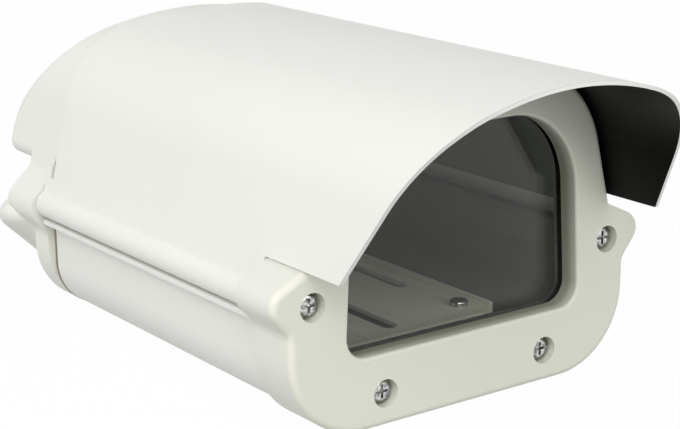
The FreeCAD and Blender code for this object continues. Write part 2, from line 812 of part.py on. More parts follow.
def stern_section(tip, radius, slope, low_radius, bottom, top):
    """Closed section with rounded flanks that slope in to a narrow bottom."""
    across, down = sine(slope), cosine(slope)
    flank = (tip - radius + radius * across, top - radius - radius * down)
    low_z = bottom + low_radius - low_radius * down
    run = (flank[1] - low_z) / across
    low_x = flank[0] - run * down
    floor_x = low_x - low_radius * across
    return [
        (floor_x, bottom),
        (low_x, low_z, low_radius, 1),
        flank,
        (tip - radius, top, radius, 1),
        (radius - tip, top),
        mirrored(flank) + (radius, 1),
        (-low_x, low_z),
        (-floor_x, bottom, low_radius, 1),
    ]


def stern_sections(inset):
    """The three sections of the lower part of the rear cap, with their places."""
    tip = S["stern_tip_radius"] - inset
    top = S["stern_top"] - inset
    low = S["stern_low_radius"] - inset
    face = stern_section(
        S["collar_half_width"] - inset, tip, S["stern_face_slope"],
        S["collar_corner"] - inset, S["end_bottom"] + inset, S["stern_face_top"] - inset)
    wide = stern_section(
        S["stern_tip"] - inset, tip, S["stern_slope"], low, S["stern_bottom"] + inset, top)
    last = stern_section(
        S["stern_end_half"] - inset, tip, S["stern_slope"], low, S["stern_end_bottom"] + inset,
        S["stern_end_top"] - inset)
    return [
        (REAR + S["collar_depth"], face),
        (REAR + S["stern_reach"], wide),
        (REAR + S["stern_end"] - inset, last),
    ]


def loft(body, kind, name, inset):
    """Add or remove the lofted lower part of the rear cap."""
    sketches = []
    for number, (place, section) in enumerate(stern_sections(inset)):
        sketch = new_sketch(body, "%s_%d" % (name, number), "XZ", place)
        add_outline(sketch, section)
        sketches.append(sketch)
    doc.recompute()
    feature = body.newObject("PartDesign::" + kind, "Loft")
    feature.Profile = sketches[0]
    feature.Sections = sketches[1:]
    doc.recompute()
    body.Tip = feature
    return feature


def dome_profile(inset):
    """Side profile of the dome's rear, moved in by inset: a slope, an arc and an upright end."""
    slope = S["dome_slope"]
    across, down = cosine(slope), sine(slope)
    radius = S["dome_rear_round"] - inset
    end = REAR + S["dome_reach"] - inset
    start_y, start_z = REAR - inset * down, S["dome_height"] - inset * across
    corner_z = start_z - (end - start_y) * tangent(slope)
    cut = radius * tangent((90 - slope) / 2)
    return {
        "start": (start_y, start_z),
        "arc_start": (end - cut * across, corner_z + cut * down),
        "arc_end": (end, corner_z - cut),
        "radius": radius,
    }


def on_slope(profile, height):
    """Place on the dome's slope at a height."""
    start_y, start_z = profile["start"]
    return (start_y + (start_z - height) / tangent(S["dome_slope"]), height)


def fastback():
    """Outline of what is cut from the rear of the dome, in the YZ plane."""
    profile = dome_profile(ZERO)
    high = S["arch_top"] + S["sheet"]
    far = profile["arc_end"][0] + S["cap_wall"]
    return [
        on_slope(profile, high),
        profile["arc_start"],
        profile["arc_end"] + (profile["radius"], -1),
        (far, profile["arc_end"][1]),
        (far, high),
    ]


def cavity_profile(low, drop):
    """Side profile of the room in the rear cap, from low up to drop below the arch's top."""
    wall = S["cap_wall"]
    profile = dome_profile(wall)
    high = S["arch_top"] - drop
    start = REAR + wall
    knee = S["dome_low"] + wall
    end_y, end_z = profile["arc_end"]
    waist_end = REAR + S["stern_end"] - wall
    over = [
        (end_y, end_z),
        profile["arc_start"] + (profile["radius"], 1),
        on_slope(profile, high),
        (start, high),
    ]
    if low.value >= knee.value - 0.001:
        return [(start, low), (end_y, low)] + over
    return [(start, low), (waist_end, low), (waist_end, knee), (end_y, knee)] + over


def cap_opening():
    """Passage from the shell into the rear cap."""
    low = S["opening_low"]
    narrow, wide = S["opening_low_half"], S["cavity_half"] - S["cap_wall"] / 2
    shelf = S["opening_shelf"]
    foot = S["dome_low"] + S["cap_wall"] * 2
    over = arch_over(S["dome_inset"] + S["cap_wall"] * 2, foot)
    points = [(narrow, low), (narrow, shelf), (wide, shelf), (wide, foot)]
    return points + over + [(-wide, foot), (-wide, shelf), (-narrow, shelf), (-narrow, low)]


BEZEL_EAR = (
    S["ear_tip"], S["ear_tip_radius"], S["ear_screw_z"] + S["ear_rise"], S["ear_top_slope"])
COLLAR_EAR = (
    S["collar_tip"], S["collar_tip_radius"], S["hinge_z"] - S["collar_tip_drop"], S["collar_top_slope"])
GLASS_FACE = BEZEL_FACE + S["window_depth"] + S["gasket"]
SHELL_FRONT = FRONT - S["front_rebate"] + S["front_gasket"]
SHELL_REAR = REAR - S["rear_gasket"]
SEAL_INSET = S["sheet"] + S["arch_seal_gap"]
FRONT_SEAL = FRONT - S["arch_seal_place"] - S["arch_seal_width"]
REAR_SEAL = REAR - S["spigot_reach"] + S["rear_seal_place"]
GLANDS = [(ZERO, S["gland_z"]), (-S["gland_spacing"], S["gland_z"]), (S["gland_spacing"], S["gland_z"])]
END_SCREWS = end_screw_places()
BAR_SCREWS = both_ends(ZERO, S["bar_screw_y"])
# The lock screws stand in the middle of the foot, which starts at the outside of the channel
CHANNEL_SIDE = S["hinge_x"] + S["bead_radius"] + S["hinge_gap"] + S["socket_wall"]
LOCK_EDGE = CHANNEL_SIDE + S["lock_foot_reach"]
LOCK_SCREWS = both_ends(CHANNEL_SIDE + S["lock_foot_reach"] / 2, S["lock_screw_y"])
TRAY_SCREWS = both_ends(S["low_screw_x"], S["tray_screw_y"])
TRAY_SCREWS += both_ends(-S["low_screw_x"], S["tray_screw_y"])
WINDOW_TOP = S["arch_top"] - S["window_drop"]
CLAMP_LOW = S["window_bottom"] - S["retainer_screw_fall"]
CLAMP_HIGH = WINDOW_TOP + S["retainer_screw_rise"]
RETAINER_SCREWS = [(side * S["retainer_screw_x"], CLAMP_LOW) for side in SIDES]
RETAINER_SCREWS += [(side * S["retainer_screw_top_x"], CLAMP_HIGH) for side in SIDES]


def build_lower_shell():
    """Extruded tray with rounded corners, ledges, hinge beads and screw ports."""
    body = new_body("lower_shell")
    start = SHELL_FRONT
    length = SHELL_REAR - start
    top = S["lip_top"]
    wall = new_sketch(body, "shell_wall", "XZ", start)
    add_outline(wall, shell_band(ZERO, S["shell_wall"], top))
    pad(body, wall, length)
    for side, name in ((-1, "left"), (1, "right")):
        lip = new_sketch(body, "lip_" + name, "XZ", start)
        lip_low = top - S["lip_thick"]
        add_box(lip, side * S["neck_inner"], lip_low, side * S["lip_half_width"], top)
        pad(body, lip, length)
        neck = new_sketch(body, "neck_" + name, "XZ", start)
        neck_outer = S["neck_inner"] + S["neck_thick"]
        add_box(neck, side * S["neck_inner"], lip_low, side * neck_outer, S["ear_screw_z"])
        pad(body, neck, length)
        for what, centre, radius in (
            ("port", (S["ear_screw_x"], S["ear_screw_z"]), S["port_radius"]),
            ("bead", (S["hinge_x"], S["hinge_z"]), S["bead_radius"]),
        ):
            sketch = new_sketch(body, what + "_" + name, "XZ", start)
            add_circle(sketch, side * centre[0], centre[1], radius)
            pad(body, sketch, length)
        rail = new_sketch(body, "rail_" + name, "XZ", start)
        low = side * (S["low_screw_x"] - S["rail_half_width"])
        high = side * (S["low_screw_x"] + S["rail_half_width"])
        add_box(rail, low, S["shell_wall"] / 2, high, S["tray_top"] - S["tray_thick"])
        pad(body, rail, length)
    ledge = new_sketch(body, "ledge", "XZ", FRONT + S["rail_gap"])
    ledge_inner = S["shell_half_width"] - S["shell_wall"] / 2
    add_box(ledge, ledge_inner, top - S["lock_foot_thick"], LOCK_EDGE, top)
    pad(body, ledge, SHELL_REAR - S["rail_gap"] - FRONT - S["rail_gap"])
    bores = new_sketch(body, "port_bores", "XZ", start)
    add_circles(bores, END_SCREWS, S["port_bore"])
    pocket(body, bores, length)
    holes = new_sketch(body, "mounting_holes", "XY", ZERO)
    add_circles(holes, both_ends(ZERO, S["mount_spacing"] / 2), S["mount_hole_radius"])
    add_circles(holes, BAR_SCREWS, S["bar_screw_radius"] + S["thread_gap"])
    pocket(body, holes, S["shell_wall"])
    sinks = new_sketch(body, "head_recesses", "XY", ZERO)
    add_circles(sinks, BAR_SCREWS, S["bar_head_radius"] + S["thread_gap"] * 2)
    pocket(body, sinks, S["bar_head_height"] / 2)
    locks = new_sketch(body, "lock_holes", "XY", top - S["lock_foot_thick"])
    add_circles(locks, LOCK_SCREWS, S["lock_screw_radius"] + S["thread_gap"])
    pocket(body, locks, S["lock_foot_thick"])
    taps = new_sketch(body, "tray_screw_holes", "XY", S["tray_top"] - S["tray_thick"])
    add_circles(taps, TRAY_SCREWS, S["tray_screw_radius"] + S["thread_gap"])
    pocket(body, taps, S["tray_screw_length"] - S["tray_thick"] + S["hinge_gap"], forwards=True)
    return body


def hood_rake(tip):
    """What is cut from the front of the hood: its edge leans forward and ends upright at the top."""
    slope = S["hood_slope"]
    out, rise = sine(slope), cosine(slope)
    margin = S["sheet"]
    low_y, low_z = FRONT - S["hood_low_reach"], S["arch_base"]
    corner_z = low_z + (low_y - tip) / tangent(slope)
    cut = S["hood_round"] * tangent(slope / 2)
    high = corner_z + cut + margin
    far = tip - margin
    return [
        (low_y + margin * out, low_z - margin * rise),
        (tip + cut * out, corner_z - cut * rise),
        (tip, corner_z + cut, S["hood_round"], -1),
        (tip, high),
        (far, high),
        (far, low_z - margin * rise),
    ]


def crown_cut(sheet_end):
    """What is cut from the crown's rear edge, in the YZ plane."""
    slope = S["crown_cut_slope"]
    margin = S["sheet"] * 2
    start = sheet_end - S["crown_cut"]
    corner_z = S["arch_top"] - S["crown_cut"] * tangent(slope)
    cut = S["crown_cut_round"] * tangent((90 - slope) / 2)
    high = S["arch_top"] + margin * tangent(slope)
    return [
        (start - margin, high),
        (sheet_end - cut * cosine(slope), corner_z + cut * sine(slope)),
        (sheet_end, corner_z - cut, S["crown_cut_round"], -1),
        (sheet_end + margin, corner_z - cut),
        (sheet_end + margin, high),
    ]


def build_top_cover():
    """Arched cover with its hood, the hinge socket on the left and the locking foot on the right."""
    body = new_body("top_cover")
    tip = FRONT - S["hood_top_reach"]
    sheet_end = REAR - S["cover_rear_gap"]
    base = S["arch_base"]
    sheet = new_sketch(body, "sheet", "XZ", tip)
    add_outline(sheet, arch_over(ZERO, base) + arch_back(S["sheet"], base))
    pad(body, sheet, sheet_end - tip)
    rake = new_sketch(body, "rake", "YZ", -S["ear_tip"])
    add_outline(rake, hood_rake(tip))
    pocket(body, rake, S["ear_tip"] * 2)
    crown = new_sketch(body, "crown_cut", "YZ", -S["ear_tip"])
    add_outline(crown, crown_cut(sheet_end))
    pocket(body, crown, S["ear_tip"] * 2)
    lift = new_sketch(body, "right_lift", "XZ", tip)
    add_box(lift, S["window_half_width"], base - S["sheet"], S["ear_tip"], base + S["hood_right_lift"])
    pocket(body, lift, FRONT - S["notch"] - tip)
    rail_start = FRONT + S["rail_gap"]
    rail_length = REAR - S["rail_gap"] - rail_start
    inner_radius = S["bead_radius"] + S["hinge_gap"]
    outer_radius = inner_radius + S["socket_wall"]
    lean = tangent(S["arch_lean"])
    out_top = arch_half(ZERO, base)["foot"]
    in_top = arch_half(S["sheet"], base)["foot"]
    skirt_z = S["hinge_z"] + inner_radius
    lap = S["sheet"]
    corners = [
        (out_top[0] - lap * lean, base + lap),
        (out_top[0] + (base - skirt_z) * lean, skirt_z),
        (in_top[0] + (base - skirt_z) * lean, skirt_z),
        (in_top[0] - lap * lean, base + lap),
    ]
    for side, name in ((-1, "left"), (1, "right")):
        skirt = new_sketch(body, "skirt_" + name, "XZ", rail_start)
        add_outline(skirt, [(side * x, z) for x, z in corners])
        pad(body, skirt, rail_length)
    notch = new_sketch(body, "notches", "YZ", -S["ear_tip"])
    add_box(notch, sheet_end, base - S["notch_depth"], sheet_end + S["notch"], base + S["notch_depth"])
    pocket(body, notch, S["ear_tip"] * 2)
    middle = S["hinge_z"]
    turn = (S["socket_start"] + S["socket_end"]) / 2
    for name, first, last in (("upper", S["socket_start"], turn), ("lower", turn, S["socket_end"])):
        socket = new_sketch(body, "socket_" + name, "XZ", rail_start)
        add_outline(socket, ring_part(-S["hinge_x"], middle, inner_radius, outer_radius, first, last))
        pad(body, socket, rail_length)
    channel = new_sketch(body, "channel", "XZ", rail_start)
    last = 180 - S["socket_start"]
    add_outline(channel, ring_part(S["hinge_x"], middle, inner_radius, outer_radius, ZERO, last))
    pad(body, channel, rail_length)
    foot_z = S["lip_top"] + S["lock_gap"]
    foot = new_sketch(body, "foot", "XZ", rail_start)
    add_outline(foot, [
        (CHANNEL_SIDE - S["socket_wall"], middle),
        (CHANNEL_SIDE - S["socket_wall"], foot_z),
        (LOCK_EDGE, foot_z),
        (LOCK_EDGE, foot_z + S["lock_foot_thick"]),
        (CHANNEL_SIDE, foot_z + S["lock_foot_thick"]),
        (CHANNEL_SIDE, middle),
    ])
    pad(body, foot, SHELL_REAR - S["rail_gap"] - rail_start)
    lock = new_sketch(body, "lock_holes", "XY", foot_z)
    add_circles(lock, LOCK_SCREWS, S["lock_screw_radius"] + S["lock_hole_gap"])
    pocket(body, lock, S["lock_foot_thick"])
    return body


def build_front_bezel():
    """Moulded front with the window's reveal, two ears, screw bosses and the seat of the shell."""
    body = new_body("front_bezel")
    skin = S["bezel_skin"]
    outside = new_sketch(body, "outside", "XZ", BEZEL_FACE)
    add_outline(outside, end_outline(ZERO))
    pad(body, outside, S["bezel_depth"])
    round_edges(body, lambda e: lies_at(e, "y", BEZEL_FACE.value), S["bezel_round"])
    hollow = new_sketch(body, "hollow", "XZ", BEZEL_FACE + skin)
    add_outline(hollow, end_outline(skin))
    pocket(body, hollow, S["bezel_depth"] - skin)
    glass_rear = GLASS_FACE + S["glass"]
    frame = new_sketch(body, "window_frame", "XZ", BEZEL_FACE + skin / 2)
    add_outline(frame, window_outline(S["window_seat"]))
    pad(body, frame, glass_rear - BEZEL_FACE - skin / 2)
    clamps = new_sketch(body, "clamp_bosses", "XZ", BEZEL_FACE + skin / 2)
    add_circles(clamps, RETAINER_SCREWS, S["retainer_boss"])
    pad(body, clamps, glass_rear - BEZEL_FACE - skin / 2)
    ears = new_sketch(body, "ear_bosses", "XZ", BEZEL_FACE + skin / 2)
    add_circles(ears, END_SCREWS[:2], S["boss_radius"])
    pad(body, ears, FRONT - BEZEL_FACE - skin / 2)
    lower = new_sketch(body, "lower_bosses", "XZ", BEZEL_FACE + skin / 2)
    add_circles(lower, END_SCREWS[2:], S["boss_radius"])
    pad(body, lower, FRONT - BEZEL_FACE - skin / 2)
    # Flange that carries the end of the shell
    flange = new_sketch(body, "seat", "XZ", FRONT - S["front_rebate"] * 2)
    add_outline(flange, seat_band())
    pad(body, flange, S["front_rebate"] * 2)
    rebate = new_sketch(body, "rebate", "XZ", FRONT - S["front_rebate"])
    add_outline(rebate, rebate_outline())
    pocket(body, rebate, S["front_rebate"])
    reveal = new_sketch(body, "reveal", "XZ", BEZEL_FACE)
    add_outline(reveal, window_outline(ZERO))
    pocket(body, reveal, S["bezel_depth"])
    seat = new_sketch(body, "glass_seat", "XZ", BEZEL_FACE + S["window_depth"])
    add_outline(seat, window_outline(S["glass_lap"] + S["glass_gap"]))
    pocket(body, seat, S["bezel_depth"] - S["window_depth"])
    round_edges(
        body,
        lambda e: lies_at(e, "y", BEZEL_FACE.value) and in_window(e),
        S["window_round"],
    )
    holes = new_sketch(body, "screw_holes", "XZ", BEZEL_FACE)
    add_circles(holes, END_SCREWS, S["hole_radius"])
    pocket(body, holes, S["bezel_depth"])
    bores = new_sketch(body, "counterbores", "XZ", BEZEL_FACE)
    add_circles(bores, END_SCREWS, S["counterbore_radius"])
    pocket(body, bores, S["screw_seat"])
    taps = new_sketch(body, "clamp_holes", "XZ", glass_rear)
    add_circles(taps, RETAINER_SCREWS, S["retainer_screw_radius"] + S["thread_gap"])
    pocket(body, taps, S["retainer_screw_length"], forwards=True)
    groove = new_sketch(body, "seal_groove", "XZ", FRONT - S["arch_seal_place"] - S["arch_seal_width"])
    inset = SEAL_INSET
    add_outline(groove, arch_strip(inset - S["sheet"], inset + S["arch_seal_thick"]))
    pocket(body, groove, S["arch_seal_width"])
    return body


def in_window(edge):
    """True for an edge that lies on the window's outline."""
    box = edge.BoundBox
    inside = max(abs(box.XMin), abs(box.XMax)) < S["window_half_width"].value + 1
    tall = box.ZMin > S["window_bottom"].value - 1 and box.ZMax < WINDOW_TOP.value + 1
    return inside and tall


def build_flat(label, outlines, start, thickness, holes=(), hole_radius=None):
    """A flat part in the XZ plane: outlines are added together, holes go through."""
    body = new_body(label)
    for number, points in enumerate(outlines):
        sketch = new_sketch(body, "outline_%d" % number, "XZ", start)
        for outline in points:
            add_outline(sketch, outline)
        pad(body, sketch, thickness)
    if holes:
        sketch = new_sketch(body, "holes", "XZ", start)
        add_circles(sketch, holes, hole_radius)
        pocket(body, sketch, thickness)
    return body


def build_retainer():
    """Frame with four eyes that clamps the glass and its gasket."""
    body = new_body("glass_retainer")
    start = GLASS_FACE + S["glass"]
    ring = new_sketch(body, "ring", "XZ", start)
    add_outline(ring, window_outline(S["window_seat"] - S["retainer_gap"]))
    pad(body, ring, S["retainer"])
    eyes = new_sketch(body, "eyes", "XZ", start)
    add_circles(eyes, RETAINER_SCREWS, S["retainer_boss"])
    pad(body, eyes, S["retainer"])
    view = new_sketch(body, "view", "XZ", start)
    add_outline(view, window_outline(S["retainer_gap"]))
    pocket(body, view, S["retainer"])
    holes = new_sketch(body, "holes", "XZ", start)
    add_circles(holes, RETAINER_SCREWS, S["retainer_screw_radius"] + S["rebate_gap"])
    pocket(body, holes, S["retainer"])
    return body


def build_screws(label, plane, seat, places, sizes, up):
    """Pan-head cross-recess screws. up is true where the heads point along the axis."""
    radius, length, head_radius, head_height = sizes
    body = new_body(label)
    shank = new_sketch(body, "shank", plane, seat)
    add_circles(shank, places, radius)
    pad(body, shank, length, forwards=up)
    head = new_sketch(body, "head", plane, seat)
    add_circles(head, places, head_radius)
    pad(body, head, head_height, forwards=not up)
    top = seat + head_height if up else seat - head_height
    axis = {"XZ": "y", "XY": "z"}[plane]
    round_edges(body, lambda e: lies_at(e, axis, top.value), head_height * 0.45)
    cross = new_sketch(body, "cross", plane, top)
    for x, y in places:
        add_cross(cross, x, y, head_radius * 0.62, head_radius * 0.13)
    pocket(body, cross, head_height * 0.6, forwards=up)
    return body


def build_washers(label, plane, start, thickness, places, inner, outer):
    """Flat washers."""
    body = new_body(label)
    sketch = new_sketch(body, "ring", plane, start)
    add_circles(sketch, places, outer)
    add_circles(sketch, places, inner)
    pad(body, sketch, thickness)
    return body


def build_rear_cap():
    """Moulded rear end: domed top, scoops behind the ears and a flared lower part."""
    body = new_body("rear_cap")
    wall = S["cap_wall"]
    inset = S["dome_inset"]
    dome_front = REAR - S["dome_start"]
    dome = new_sketch(body, "dome", "XZ", dome_front)
    add_outline(dome, arch_over(inset, S["dome_low"]))
    pad(body, dome, S["dome_start"] + S["dome_reach"])
    fall = new_sketch(body, "fastback", "YZ", -S["ear_tip"])
    add_outline(fall, fastback())
    pocket(body, fall, S["ear_tip"] * 2)
    front_y, low_z = dome_front.value, S["dome_low"].value
    round_edges(body, lambda e: slants(e) and not lies_at(e, "y", front_y), S["dome_round"])
    round_edges(
        body,
        lambda e: lies_at(e, "z", low_z) and not lies_at(e, "y", front_y),
        S["dome_low_round"],
    )
    waist = new_sketch(body, "waist", "XZ", REAR)
    half = S["waist_half_width"]
    add_box(waist, -half, S["stern_end_top"] - wall, half, S["dome_low"] + wall * 2)
    pad(body, waist, S["stern_end"])
    loft(body, "AdditiveLoft", "stern", ZERO)
    collar = new_sketch(body, "collar", "XZ", REAR)
    add_outline(collar, collar_outline())
    pad(body, collar, S["collar_depth"])
    ears = new_sketch(body, "ears", "XZ", REAR + S["collar_depth"])
    add_outline(ears, collar_ears())
    pad(body, ears, S["collar_ear_depth"] - S["collar_depth"])
    throat = new_sketch(body, "throat", "XZ", dome_front)
    add_outline(throat, arch_over(inset + wall, S["dome_low"] - wall))
    pocket(body, throat, S["dome_start"])
    spigot = new_sketch(body, "spigot", "XZ", REAR - S["spigot_reach"])
    add_outline(spigot, arch_strip(inset, inset + wall))
    pad(body, spigot, S["spigot_reach"] - S["dome_start"] + wall)
    groove = new_sketch(body, "seal_groove", "XZ", REAR_SEAL)
    add_outline(groove, arch_strip(SEAL_INSET - S["sheet"], SEAL_INSET + S["arch_seal_thick"]))
    pocket(body, groove, S["arch_seal_width"])
    opening = new_sketch(body, "opening", "XZ", REAR)
    add_outline(opening, cap_opening())
    pocket(body, opening, wall * 1.5)
    room = S["cavity_half"]
    cavity = new_sketch(body, "cavity", "YZ", -room)
    add_outline(cavity, cavity_profile(S["stern_end_top"] - wall * 2, S["cavity_drop"]))
    pocket(body, cavity, room * 2)
    crown = new_sketch(body, "crown_cavity", "YZ", -S["crown_cavity_half"])
    add_outline(crown, cavity_profile(S["dome_low"] + wall, S["crown_cavity_drop"]))
    pocket(body, crown, S["crown_cavity_half"] * 2)
    low_room = new_sketch(body, "low_room", "XZ", REAR + wall)
    add_outline(low_room, stern_sections(wall)[0][1])
    pocket(body, low_room, S["collar_depth"] - wall)
    loft(body, "SubtractiveLoft", "stern_cavity", wall)
    tubes = new_sketch(body, "screw_tubes", "XZ", REAR)
    add_circles(tubes, END_SCREWS[2:], S["tube_radius"])
    pad(body, tubes, S["stern_end"])
    holes = new_sketch(body, "screw_holes", "XZ", REAR)
    add_circles(holes, END_SCREWS, S["hole_radius"])
    pocket(body, holes, S["stern_end"])
    bores = new_sketch(body, "ear_counterbores", "XZ", REAR + S["rear_screw_seat"])
    add_circles(bores, END_SCREWS[:2], S["counterbore_radius"])
    pocket(body, bores, S["collar_ear_depth"] - S["rear_screw_seat"])
    shafts = new_sketch(body, "screw_shafts", "XZ", REAR + S["rear_screw_seat"])
    add_circles(shafts, END_SCREWS[2:], S["counterbore_radius"])
    pocket(body, shafts, S["stern_end"])
    glands = new_sketch(body, "gland_holes", "XZ", REAR + S["stern_end"] - wall * 2)
    add_circles(glands, GLANDS, S["gland_hole"])
    pocket(body, glands, wall * 3)
    return body


def slants(edge):
    """True for an edge that goes both across and up."""
    return edge.BoundBox.XLength > 0.01 and edge.BoundBox.ZLength > 0.01


def build_rail_seal():
    """Strip between the locking foot and the ledge."""
    body = new_body("rail_seal")
    start = FRONT + S["rail_gap"]
    sketch = new_sketch(body, "strip", "XZ", start)
    edge = S["hinge_x"] + S["bead_radius"] + S["hinge_gap"]
    low = S["lip_top"]
    add_box(sketch, S["shell_half_width"], low, edge, low + S["rail_seal_thick"])
    pad(body, sketch, SHELL_REAR - S["rail_gap"] - start)
    return body


def build_tray():
    """Flat camera tray with turned-up edges, a middle slot and two side slots."""
    body = new_body("camera_tray")
    low = S["tray_top"] - S["tray_thick"]
    plate = new_sketch(body, "plate", "XY", low)
    half = S["tray_half_width"]
    front, rear = FRONT + S["tray_front"], REAR - S["tray_rear"]
    add_box(plate, -half, front, half, rear)
    pad(body, plate, S["tray_thick"])
    for side, name in ((-1, "left"), (1, "right")):
        flange = new_sketch(body, "flange_" + name, "XY", low)
        inner = side * (half - S["tray_thick"])
        add_box(flange, inner, front, side * half, rear)
        pad(body, flange, S["tray_thick"] + S["tray_flange"])
    slots = new_sketch(body, "slots", "XY", low)
    add_slot(slots, ZERO, -S["slot_front"], S["slot_rear"], S["slot_half_width"])
    for side in SIDES:
        place = side * S["side_slot_x"]
        add_slot(slots, place, -S["side_slot_front"], S["side_slot_rear"], S["side_slot_half_width"])
    add_circles(slots, TRAY_SCREWS, S["tray_screw_radius"] + S["rebate_gap"])
    pocket(body, slots, S["tray_thick"])
    return body


def build_mount_bar():
    """Steel bar on the floor of the shell with two threaded mounting holes."""
    body = new_body("mount_bar")
    floor = S["shell_wall"]
    plate = new_sketch(body, "plate", "XY", floor)
    half, end = S["mount_bar_half_width"], S["mount_bar_length"] / 2
    add_box(plate, -half, -end, half, end)
    pad(body, plate, S["mount_bar_thick"])
    holes = new_sketch(body, "threads", "XY", floor)
    add_circles(holes, both_ends(ZERO, S["mount_spacing"] / 2), S["bar_thread"])
    add_circles(holes, BAR_SCREWS, S["bar_screw_radius"] + S["thread_gap"])
    pocket(body, holes, S["mount_bar_thick"])
    return body


def build_bar_screws():
    """Flat-head screws that hold the bar from below."""
    body = new_body("mount_bar_screws")
    shank = new_sketch(body, "shank", "XY", ZERO)
    add_circles(shank, BAR_SCREWS, S["bar_screw_radius"])
    pad(body, shank, S["bar_screw_length"])
    head = new_sketch(body, "head", "XY", ZERO)
    add_circles(head, BAR_SCREWS, S["bar_head_radius"])
    pad(body, head, S["bar_head_height"] / 2)
    cross = new_sketch(body, "cross", "XY", ZERO)
    for x, y in BAR_SCREWS:
        add_cross(cross, x, y, S["bar_head_radius"] * 0.6, S["bar_head_radius"] * 0.13)
    pocket(body, cross, S["bar_head_height"] / 3)
    return body


def build_camera_bolt():
    """Knurled bolt that slides along the middle slot and takes a camera."""
    body = new_body("camera_bolt")
    gap = S["camera_knob_gap"]
    low = S["tray_top"] - S["tray_thick"] - gap
    high = S["tray_top"] + gap
    knob = new_sketch(body, "knob", "XY", low)
    add_circle(knob, ZERO, S["camera_bolt_y"], S["camera_knob_radius"])
    pad(body, knob, S["camera_knob_height"], forwards=True)
    neck = new_sketch(body, "neck", "XY", low)
    add_circle(neck, ZERO, S["camera_bolt_y"], S["camera_bolt_radius"])
    pad(body, neck, high - low)
    thread = new_sketch(body, "thread", "XY", high)
    add_circle(thread, ZERO, S["camera_bolt_y"], S["keeper_bore"] - S["thread_gap"])
    pad(body, thread, S["camera_bolt_reach"])
    end = (high + S["camera_bolt_reach"]).value
    round_edges(body, lambda e: lies_at(e, "z", end), S["thread_gap"] * 12)
    return body


def build_ring_z(label, start, thickness, place, inner, outer):
    """A ring on a vertical axis."""
    body = new_body(label)
    sketch = new_sketch(body, "ring", "XY", start)
    add_circle(sketch, place[0], place[1], outer)
    add_circle(sketch, place[0], place[1], inner)
    pad(body, sketch, thickness)
    return body


def build_gland(label, hexagon, rounds, bore, rounded=False):
    """Three equal turned parts of the cable glands: one hexagon, some cylinders, one bore."""
    body = new_body(label)
    start, height, flats = hexagon
    nut = new_sketch(body, "hexagon", "XZ", start)
    for x, z in GLANDS:
        add_hexagon(nut, x, z, flats)
    pad(body, nut, height)
    for number, (first, length, radius) in enumerate(rounds):
        sketch = new_sketch(body, "round_%d" % number, "XZ", first)
        add_circles(sketch, GLANDS, radius)
        pad(body, sketch, length)
    first, length, radius = bore
    hole = new_sketch(body, "bore", "XZ", first)
    add_circles(hole, GLANDS, radius)
    pocket(body, hole, length)
    if rounded:
        end = rounds[-1][0] + rounds[-1][1]
        limit = rounds[-1][2].value * 2 - 1
        round_edges(
            body,
            lambda e: lies_at(e, "y", end.value) and e.BoundBox.XLength > limit,
            S["gland_round"],
        )
    return body


def build_glands():
    """Bodies, sealing rings, dome nuts, lock nuts and plugs of the three cable glands."""
    wall_rear = REAR + S["stern_end"]
    wall_front = wall_rear - S["cap_wall"]
    flats = S["gland_flat"]
    seat = wall_rear + S["gland_washer"]
    gap = S["thread_gap"]
    hexagon_end = seat + S["gland_body_height"]
    collar_length = S["gland_nut_height"] - S["cap_wall"]
    tail = seat - wall_front + S["gland_tail"]
    bodies = build_gland(
        "gland_bodies",
        (seat, S["gland_body_height"], flats),
        [(seat - tail, tail, S["gland_thread"]), (hexagon_end, collar_length, S["gland_collar"])],
        (seat - tail, S["stern_end"], S["gland_bore"] + gap),
    )
    seals = build_washers(
        "gland_seals", "XZ", wall_rear, S["gland_washer"], GLANDS, S["gland_hole"], flats / 2)
    nut_low = S["gland_nut_height"] * 0.6
    nuts = build_gland(
        "gland_dome_nuts",
        (hexagon_end, nut_low, flats),
        [(hexagon_end, S["gland_nut_height"], flats * 0.48)],
        (hexagon_end, collar_length, S["gland_collar"] + gap),
        rounded=True,
    )
    mouth = new_sketch(nuts, "mouth", "XZ", hexagon_end)
    add_circles(mouth, GLANDS, S["gland_bore"] + gap)
    pocket(nuts, mouth, S["gland_nut_height"])
    locks = build_gland(
        "gland_locknuts",
        (wall_front - S["gland_lock_height"], S["gland_lock_height"], flats),
        [],
        (wall_front - S["gland_lock_height"], S["gland_lock_height"], S["gland_thread"] + gap),
    )
    plugs = new_body("gland_plugs")
    plug_end = hexagon_end + S["gland_nut_height"]
    pin = new_sketch(plugs, "pin", "XZ", plug_end - S["gland_plug_length"])
    add_circles(pin, GLANDS, S["gland_bore"])
    pad(plugs, pin, S["gland_plug_length"])
    cap = new_sketch(plugs, "cap", "XZ", plug_end)
    add_circles(cap, GLANDS, S["gland_bore"] + S["gland_plug_rim"])
    pad(plugs, cap, S["gland_plug_rim"])
    return [bodies, seals, nuts, locks, plugs]


